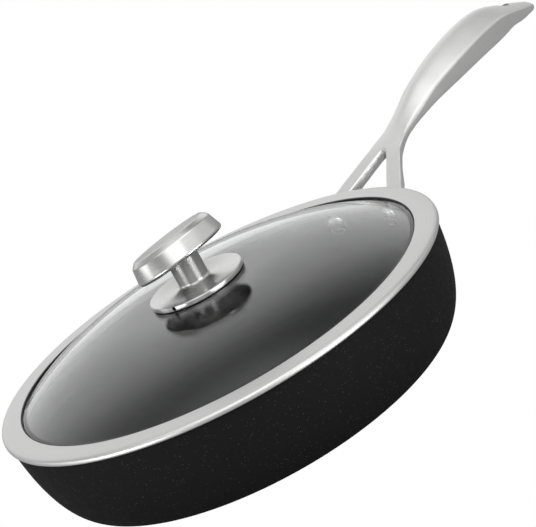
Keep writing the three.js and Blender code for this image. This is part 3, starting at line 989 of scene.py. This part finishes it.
def foot_corners():
    """Rows of four corners where a leg turns down the wall and spreads into its pad."""
    out = np.array((math.cos(SEAT_AZIMUTH), math.sin(SEAT_AZIMUTH), 0.0))
    across = np.array((-math.sin(SEAT_AZIMUTH), math.cos(SEAT_AZIMUTH), 0.0))
    axis = out * math.cos(SEAT_LEAN) - np.array((0.0, 0.0, math.sin(SEAT_LEAN)))
    rise = np.cross(axis, across)
    seat = out * SEAT_RADIUS + np.array((0.0, 0.0, RIVET_LEVEL))
    touch = fork_point(FORK_TOUCH)
    join = HANDLE_STATIONS[0][0]
    roots = {-1: LEG_INNER_ROOT, 1: LEG_OUTER_ROOT}
    slopes = {
        -1: (LEG_INNER_ROOT - touch[1]) / (touch[0] - RIM_RADIUS),
        1: (LEG_OUTER_ROOT - leg_outer(join)) / (join - RIM_RADIUS),
    }

    def edge(side, away):
        """Where a straight edge of the leg stands across the pad, at a distance from the wall."""
        x, y, _ = seat + out * away
        line = roots[side] + slopes[side] * (RIM_RADIUS - x)
        return (line - y) / (across[1] + slopes[side] * across[0])

    def slab(side, away, pad_share, drop):
        """A corner on the leg's slab, drawn towards the pad's edge by a share."""
        place = edge(side, away)
        place += (side * PAD_HALF - place) * pad_share
        spot = seat + across * place + out * away
        spot[2] = LEG_ROOT_TOP + LEG_SLOPE * (spot[0] - RIM_RADIUS) - drop
        return spot

    def pad(place, level, away):
        """A corner on the pad, which follows the wall's curve."""
        back = away - place * place / (2 * SEAT_RADIUS)
        return seat + across * place + rise * level + axis * back

    def back_corner(side, level, share):
        """A corner on the hidden back of the foot."""
        place = (slab(side, PAD_BACK, share, 0.0) - seat) @ across
        return pad(place + (side * PAD_HALF - place) * share, level, PAD_BACK)

    rows = []
    for top_away, under_away, top_share, under_share, level in FOOT_ROWS:
        top = [slab(side, top_away, top_share, 0.0) for side in (-1, 1)]
        under = [slab(side, under_away, under_share, LEG_THICKNESS) for side in (1, -1)]
        if level is not None:
            for spot in under:
                spot[2] = RIVET_LEVEL + level
        rows.append(top + under)
    for level, front, share in PAD_ROWS:
        back = [back_corner(side, level, share) for side in (-1, 1)]
        rows.append(back + [pad(side * PAD_HALF, front, PAD_FRONT) for side in (1, -1)])
    for level in PAD_LEVELS:
        drop = max(0.0, -level - (PAD_HALF - PAD_ROUND))
        half = PAD_HALF - PAD_ROUND + math.sqrt(max(0.0, PAD_ROUND**2 - drop**2))
        places = ((-half, PAD_BACK), (half, PAD_BACK), (half, PAD_FRONT), (-half, PAD_FRONT))
        rows.append([pad(place, level, away) for place, away in places])
    return rows


def leg_ring(corners, crown):
    """A closed ring with rounded corners round four corner points."""
    top_in, top_out, under_out, under_in = corners
    width = (np.linalg.norm(top_out - top_in) + np.linalg.norm(under_out - under_in)) / 2
    height = (np.linalg.norm(top_out - under_out) + np.linalg.norm(top_in - under_in)) / 2
    ridge = min(RIDGE_RADIUS, height * LEG_RIDGE_SHARE)
    chain = half_section(width, height, ridge, ridge, ridge / width)
    chain += inner_section(width, height, ridge, ridge)
    ring = []
    for s, h in chain:
        top = top_in + (top_out - top_in) * s + np.array((0.0, 0.0, crown * s * (1 - s)))
        under = under_in + (under_out - under_in) * s
        ring.append(under + (top - under) * h)
    return ring


def leg_rings():
    """Closed rings from the crotch down to the end of the pad. The first row is left to the grip."""
    rows = np.array(leg_corners() + foot_corners(), float)
    turns = np.linspace(0.0, 1.0, (len(rows) - 1) * LEG_RINGS + 1)[1:]
    rings = []
    for turn in turns:
        corners = spline(rows, turn)
        rings.append(leg_ring(corners, FORM.crown(corners[1][0])))
    return rings


def soften_fork(shell):
    """Eases the creases where the legs run into the neck."""
    first, last = FORK_EASE
    near = [vert for vert in shell.verts if first * MM < vert.co.x < last * MM]
    ways = {"use_axis_x": True, "use_axis_y": True, "use_axis_z": True}
    for _ in range(FORK_EASE_ROUNDS):
        bmesh.ops.smooth_vert(shell, verts=near, factor=0.5, **ways)


def handle_mesh():
    """One half of the handle as rings, mirrored on the middle plane and closed at its ends."""
    shell = bmesh.new()

    def verts(ring):
        return [shell.verts.new(tuple(np.array(p) * MM)) for p in ring]

    grip = [verts(ring) for ring in grip_rings()]
    for near, far in zip(grip, grip[1:]):
        for i in range(len(near) - 1):
            shell.faces.new((near[i], near[i + 1], far[i + 1], far[i]))
    legs = [grip[0] + verts(crotch_ring())] + [verts(ring) for ring in leg_rings()]
    for near, far in zip(legs, legs[1:]):
        for i in range(len(near)):
            k = (i + 1) % len(near)
            shell.faces.new((near[k], near[i], far[i], far[k]))
    shell.faces.new(legs[-1])
    whole = shell.faces[:] + shell.edges[:] + shell.verts[:]
    copied = bmesh.ops.duplicate(shell, geom=whole)["geom"]
    for item in copied:
        if isinstance(item, bmesh.types.BMVert):
            item.co.y = -item.co.y
    bmesh.ops.remove_doubles(shell, verts=shell.verts, dist=MERGE_BELOW)
    open_edges = [edge for edge in shell.edges if edge.is_boundary]
    bmesh.ops.holes_fill(shell, edges=open_edges, sides=0)
    soften_fork(shell)
    mesh = bpy.data.meshes.new("fork_handle")
    shell.to_mesh(mesh)
    shell.free()
    return mesh


def hang_tools():
    """Cutters for the hanging hole: a plain bore, and a rounded lip on each face."""
    slope = FORM.crest(HANG_X + LIP_SPAN) - FORM.crest(HANG_X - LIP_SPAN)
    crest = FORM.crest(HANG_X)
    belly = crest - FORM.thick(HANG_X)
    tools = [drill(HANG_RADIUS, belly - HANG_SPARE, crest + HANG_SPARE, (HANG_X, 0.0))]
    wide = HANG_RADIUS + HANG_LIP
    bend = arc(wide, -HANG_LIP, HANG_LIP, 180.0, 90.0, LIP_STEPS)
    lip = [(0.0, -HANG_LIP), *bend, (wide, LIP_SPARE), (0.0, LIP_SPARE)]
    places = ((crest, math.atan2(-slope, 2 * LIP_SPAN), 1.0), (belly, BELLY_LEAN, -1.0))
    for level, lean, side in places:
        profile = [(r, z * side) for r, z in lip]
        tool = turned("lip", profile, SMALL_STEPS, None)
        seat = Matrix.Translation((HANG_X * MM, 0.0, level * MM))
        tool.data.transform(seat @ Matrix.Rotation(lean, 4, "Y"))
        tools.append(tool)
    return tools


def fork_handle():
    mesh = handle_mesh()
    mesh.materials.append(HANDLE_STEEL)
    piece = face_outward(new_piece("fork_handle", mesh))
    for tool in hang_tools():
        cut(piece, tool)
    settle(piece, "pan", "cast_steel", "handle")


# Lid
def lid_band():
    """The steel band: a soft brow, a lip over the pan's rim, a skirt, and a groove for the seal."""
    brow = bezier(
        BROW_STEPS,
        (BAND_OUTER, BAND_TOP - BAND_FALL),
        (BAND_OUTER, BAND_TOP - BROW_RISE * BAND_FALL),
        (BAND_OUTER - BROW_REACH * BAND_BROW, BAND_TOP - BROW_CREST * BAND_FALL),
        (BAND_OUTER - BAND_BROW, BAND_TOP - BAND_SLOPE),
    )
    corners = [
        *brow,
        (BAND_INNER, BAND_TOP, 0.3),
        (BAND_INNER, SEAL_TOP, 0.1),
        (GROOVE_RADIUS, SEAL_TOP),
        (GROOVE_RADIUS, SEAL_BOTTOM),
        (BAND_INNER, SEAL_BOTTOM, 0.3),
        (BAND_INNER, SKIRT_BOTTOM, 0.8),
        (SKIRT_OUTER, SKIRT_BOTTOM, 0.8),
        (SKIRT_OUTER, RIM_LEVEL, 0.6),
        (BAND_LIP, RIM_LEVEL, 0.1),
        (BAND_LIP, LIP_BOTTOM, 0.2),
        (BAND_OUTER, LIP_BOTTOM, 1.0),
    ]
    piece = turned("lid_band", corners, PAN_STEPS, BAND_STEEL)
    settle(piece, "lid", "satin_steel", "lid_rim")


def seal_ring():
    """The seal that grips the glass's edge."""
    gap = CONTACT_GAP
    corners = [
        (SEAL_INNER, SEAL_BOTTOM + gap, 0.3),
        (SEAL_OUTER, SEAL_BOTTOM + gap, 0.2),
        (SEAL_OUTER, SEAL_TOP - gap, 0.2),
        (SEAL_INNER, SEAL_TOP - gap, 0.3),
        (SEAL_INNER, GLASS_EDGE_TOP + gap, 0.2),
        (SEAL_GROOVE, GLASS_EDGE_TOP + gap),
        (SEAL_GROOVE, GLASS_EDGE_BOTTOM - gap),
        (SEAL_INNER, GLASS_EDGE_BOTTOM - gap, 0.2),
    ]
    piece = turned("seal_ring", corners, PAN_STEPS, SILICONE_AND_HOLE_SHADE)
    settle(piece, "lid", "silicone", "glass_seal")


def vent(piece):
    """The steam hole under the knob's foot."""
    place = polar(VENT_RADIUS, VENT_AZIMUTH)
    return cut(piece, drill(VENT_SIZE, GLASS_UNDER - VENT_SPARE, DOME_TOP + VENT_SPARE, place))


def dome_glass():
    """The glass: a flat land under the knob, a low dome and a rounded edge."""
    dome = bezier(
        CURVE_STEPS,
        (DOME_LAND, DOME_TOP),
        (DOME_LAND + DOME_CROWN, DOME_TOP),
        (GLASS_FOOT - SHOULDER_IN, DOME_TOP - SHOULDER_DROP),
        (GLASS_FOOT, GLASS_EDGE_TOP),
    )
    under = offset(dome, GLASS_THICKNESS)[::-1]
    corners = [
        (GLASS_BORE, DOME_TOP),
        *dome,
        (GLASS_EDGE, GLASS_EDGE_TOP, GLASS_EDGE_ROUND),
        (GLASS_EDGE, GLASS_EDGE_BOTTOM, GLASS_EDGE_ROUND),
        (under[0][0] + GLASS_EDGE_INSET, GLASS_EDGE_BOTTOM),
        *under,
        (GLASS_BORE, GLASS_UNDER),
    ]
    piece = vent(turned("dome_glass", corners, PAN_STEPS, GLASS))
    settle(piece, "lid", "glass", "lid_glass")


# Knob
def flange_gasket():
    bottom = DOME_TOP + CONTACT_GAP
    top = FLANGE_LEVEL - CONTACT_GAP
    profile = ring_section(GLASS_BORE, GASKET_RADIUS, bottom, top, 0.25)
    piece = vent(turned("flange_gasket", profile, KNOB_STEPS, SILICONE_AND_HOLE_SHADE))
    settle(piece, "lid", "silicone", "base_gasket")


def knob_foot():
    """The foot: a lip over its gasket, a shallow dish, a flare up to the stem, and a chamber below."""
    flare_start = (FLARE_RADIUS, FLANGE_TOP)
    dish = bezier(DISH_STEPS, DISH_EDGE, DISH_FALL, (DISH_FOOT, FLANGE_TOP), flare_start)
    flare = bezier(FLARE_STEPS, flare_start, (STEM_RADIUS, FLANGE_TOP), (STEM_RADIUS, STEM_LEVEL))
    corners = [
        (CHAMBER_RADIUS, FLANGE_LEVEL),
        (LIP_RADIUS, FLANGE_LEVEL),
        (LIP_RADIUS, LIP_LEVEL),
        (FLANGE_RADIUS, LIP_LEVEL, 0.3),
        (FLANGE_RADIUS, FLANGE_EDGE, FLANGE_ROUND),
        *dish,
        *flare[1:],
        (BORE_RADIUS, STEM_LEVEL),
        (BORE_RADIUS, FLANGE_LEVEL),
        (HUB_RADIUS, FLANGE_LEVEL),
        (HUB_RADIUS, FLANGE_LEVEL + CHAMBER_DEPTH),
        (CHAMBER_RADIUS, FLANGE_LEVEL + CHAMBER_DEPTH),
    ]
    piece = turned("knob_foot", corners, KNOB_STEPS, FOOT_STEEL)
    # The vent bore's walls take the black silicone finish as painted shade in the hole; the foot is
    # steel there.
    bore = drill(FLANGE_VENT_SIZE, *FLANGE_VENT_RUN, (0.0, 0.0), SILICONE_AND_HOLE_SHADE)
    aim = Matrix.Rotation(math.radians(VENT_AZIMUTH), 4, "Z") @ Matrix.Rotation(math.pi / 2, 4, "Y")
    bore.data.transform(Matrix.Translation((0.0, 0.0, FLANGE_VENT_LEVEL * MM)) @ aim)
    cut(piece, bore)
    settle(piece, "lid", "bright_steel", "knob_base")


def knob_neck():
    """The stem, with its top sloped to the cap's underside."""
    high = CAP_LEVEL + STEM_RADIUS
    profile = [
        (BORE_RADIUS, STEM_LEVEL),
        (STEM_RADIUS, STEM_LEVEL),
        (STEM_RADIUS, high),
        (0.0, high),
        (0.0, STEM_BORE_TOP),
        (BORE_RADIUS, STEM_BORE_TOP),
    ]
    piece = turned("knob_neck", profile, KNOB_STEPS, TURNED_STEEL)
    fall = math.tan(math.radians(CAP_LEAN))
    for vert in piece.data.vertices:
        if vert.co.z > (high - STEM_BITE) * MM:
            vert.co.z = (CAP_LEVEL + STEM_BITE) * MM - vert.co.y * fall
    face_outward(piece)
    settle(piece, "lid", "bright_steel", "knob_stem")


def knob_top():
    """The leaning cap: a tapered flank, a rounded shoulder and a flat face."""
    corners = [
        (0.0, 0.0),
        (CAP_BOTTOM_RADIUS, 0.0, CAP_EDGE),
        (CAP_TOP_RADIUS, CAP_SHOULDER, CAP_SHOULDER_ROUND),
        (CAP_FACE_RADIUS, CAP_HEIGHT, CAP_FACE_ROUND),
        (0.0, CAP_HEIGHT),
    ]
    piece = turned("knob_top", corners, KNOB_STEPS, CAP_STEEL)
    lean = Matrix.Rotation(-math.radians(CAP_LEAN), 4, "X")
    piece.data.transform(Matrix.Translation((0.0, 0.0, CAP_LEVEL * MM)) @ lean)
    settle(piece, "lid", "satin_steel", "knob_cap")


# What holds the knob from inside the lid
def knob_bush():
    profile = ring_section(BORE_RADIUS, BUSH_RADIUS, GLASS_UNDER, DOME_TOP, 0.0)
    piece = turned("knob_bush", profile, SMALL_STEPS, NYLON)
    settle(piece, "lid", "nylon", "glass_bush")


def under_gasket():
    bottom = WASHER_TOP + CONTACT_GAP
    top = GLASS_UNDER - CONTACT_GAP
    profile = ring_section(BORE_RADIUS, UNDER_GASKET_RADIUS, bottom, top, 0.2)
    piece = turned("under_gasket", profile, SMALL_STEPS, SILICONE_AND_HOLE_SHADE)
    settle(piece, "lid", "silicone", "lower_gasket")


def knob_washer():
    profile = ring_section(BORE_RADIUS, WASHER_RADIUS, WASHER_BOTTOM, WASHER_TOP, 0.4)
    piece = turned("knob_washer", profile, SMALL_STEPS, POLISHED_STEEL)
    settle(piece, "lid", "bright_steel", "cup_washer")


def screw_finish():
    """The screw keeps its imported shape, and is polished like the washer."""
    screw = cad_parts["knob_screw"]
    screw.data.materials.clear()
    screw.data.materials.append(POLISHED_STEEL)


# Stage
def photo_way(azimuth, elevation):
    """A direction from the pan: azimuth 0 towards the camera, positive to its right."""
    turn = math.radians(azimuth - 90.0 - HANDLE_TURN)
    rise = math.radians(elevation)
    flat = math.cos(rise)
    return Vector((flat * math.cos(turn), flat * math.sin(turn), math.sin(rise)))


def camera():
    """The picture's camera: turned to the pan, raised, rolled, and swung off the picture's middle."""
    off_x = (VIEW_CENTRE[0] - PICTURE[0] / 2) / VIEW_FOCAL
    off_y = (PICTURE[1] / 2 - VIEW_CENTRE[1]) / VIEW_FOCAL
    aim = Vector((off_x, off_y, 1.0)).normalized()
    side = (Vector((1.0, 0.0, 0.0)) - aim.x * aim).normalized()
    back = Matrix.Diagonal((1.0, 1.0, -1.0))
    swing = back @ Matrix((side, aim.cross(side), aim)) @ back
    turn = Matrix.Rotation(-math.radians(HANDLE_TURN), 3, "Z")
    stand = turn @ Matrix.Rotation(math.radians(90.0 - VIEW_ELEVATION), 3, "X")
    facing = stand @ Matrix.Rotation(math.radians(VIEW_ROLL), 3, "Z") @ swing
    place = stand @ Vector((0.0, 0.0, VIEW_DISTANCE)) + Vector((0.0, 0.0, BAND_TOP * MM))
    lens = bpy.data.cameras.new("camera")
    lens.lens = VIEW_FOCAL / PICTURE[0] * SENSOR
    lens.sensor_width = SENSOR
    lens.clip_end = VIEW_END
    holder = new_piece("camera", lens)
    holder.matrix_world = Matrix.Translation(place) @ facing.to_4x4()
    bpy.context.scene.camera = holder


def white_share(tree):
    """How much of the floor is plain white to a ray: most of it in view, less of it off metal."""
    path = add(tree, "ShaderNodeLightPath").outputs
    seen = math_node(tree, "MAXIMUM", path["Is Camera Ray"], path["Is Transmission Ray"])
    in_view = math_node(tree, "MULTIPLY", seen, FLOOR_WHITE)
    off_metal = math_node(tree, "MULTIPLY", path["Is Glossy Ray"], FLOOR_WHITE_OFF_METAL)
    return math_node(tree, "MAXIMUM", in_view, off_metal)


def mix_surface(tree, share, first, second, output):
    """Ends a shader tree with a mix of two shaders."""
    mixed = add(tree, "ShaderNodeMixShader", {0: share, 1: first.outputs[0], 2: second.outputs[0]})
    add(tree, output, {"Surface": mixed.outputs["Shader"]})


def floor():
    """White paper to the camera, and grey as a source of light."""
    mesh = bpy.data.meshes.new("floor")
    signs = ((-1, -1), (1, -1), (1, 1), (-1, 1))
    corners = [(x * FLOOR_HALF, y * FLOOR_HALF, 0.0) for x, y in signs]
    mesh.from_pydata(corners, [], [(0, 1, 2, 3)])
    paper = bpy.data.materials.new("white_paper")
    paper.use_nodes = True
    tree = paper.node_tree
    tree.nodes.clear()
    matte = add(tree, "ShaderNodeBsdfDiffuse", {"Color": (FLOOR_GREY, FLOOR_GREY, FLOOR_GREY, 1.0)})
    glow = add(tree, "ShaderNodeEmission", {"Color": WHITE, "Strength": 1.0})
    mix_surface(tree, white_share(tree), matte, glow, "ShaderNodeOutputMaterial")
    mesh.materials.append(paper)
    new_piece("floor", mesh)


def lamp(name, azimuth, elevation, distance, width, height, power, mirrored):
    """A lamp that faces the pan; only a mirrored one shows in the metal and the glass."""
    light = bpy.data.lights.new(name, "AREA")
    light.shape = "RECTANGLE"
    light.size = width
    light.size_y = height
    light.energy = power
    holder = new_piece(name, light)
    way = photo_way(azimuth, elevation)
    holder.location = way * distance + Vector((0.0, 0.0, LAMP_TARGET))
    holder.rotation_euler = (-way).to_track_quat("-Z", "Y").to_euler()
    holder.visible_camera = False
    holder.visible_glossy = mirrored


def soft_patch(tree, way, azimuth, elevation, inner, outer, gain):
    """A soft round patch of the studio that is brighter or darker than the rest."""
    middle = photo_way(azimuth, elevation)
    toward = add(tree, "ShaderNodeVectorMath", {0: way, 1: middle}, operation="DOT_PRODUCT")
    limits = {
        "Value": toward.outputs["Value"],
        "From Min": math.cos(math.radians(outer)),
        "From Max": math.cos(math.radians(inner)),
        "To Min": 0.0,
        "To Max": gain,
    }
    return add(
        tree, "ShaderNodeMapRange", limits, interpolation_type="SMOOTHSTEP"
    ).outputs["Result"]


def studio_light(tree):
    """The strength of the studio round the object, by direction."""
    way = add(tree, "ShaderNodeTexCoord").outputs["Generated"]
    light = STUDIO_GREY
    for patch in STUDIO_PATCHES:
        light = math_node(tree, "ADD", soft_patch(tree, way, *patch), light)
    return light


def studio():
    """The light round the pan, plain white to the camera, and the lamps."""
    world = bpy.data.worlds.new("studio")
    bpy.context.scene.world = world
    world.use_nodes = True
    tree = world.node_tree
    tree.nodes.clear()
    seen = add(tree, "ShaderNodeLightPath").outputs["Is Camera Ray"]
    soft = add(tree, "ShaderNodeBackground", {"Color": WHITE, "Strength": studio_light(tree)})
    white = add(tree, "ShaderNodeBackground", {"Color": WHITE, "Strength": 1.0})
    mix_surface(tree, seen, soft, white, "ShaderNodeOutputWorld")
    for name, values in LAMPS.items():
        lamp(name, *values)
    bpy.context.scene.view_settings.view_transform = "Standard"


camera()
pan_shell()
base_plate()
fork_handle()
rivets()
lid_band()
seal_ring()
dome_glass()
flange_gasket()
knob_foot()
knob_neck()
knob_top()
knob_bush()
under_gasket()
knob_washer()
screw_finish()
floor()
studio()
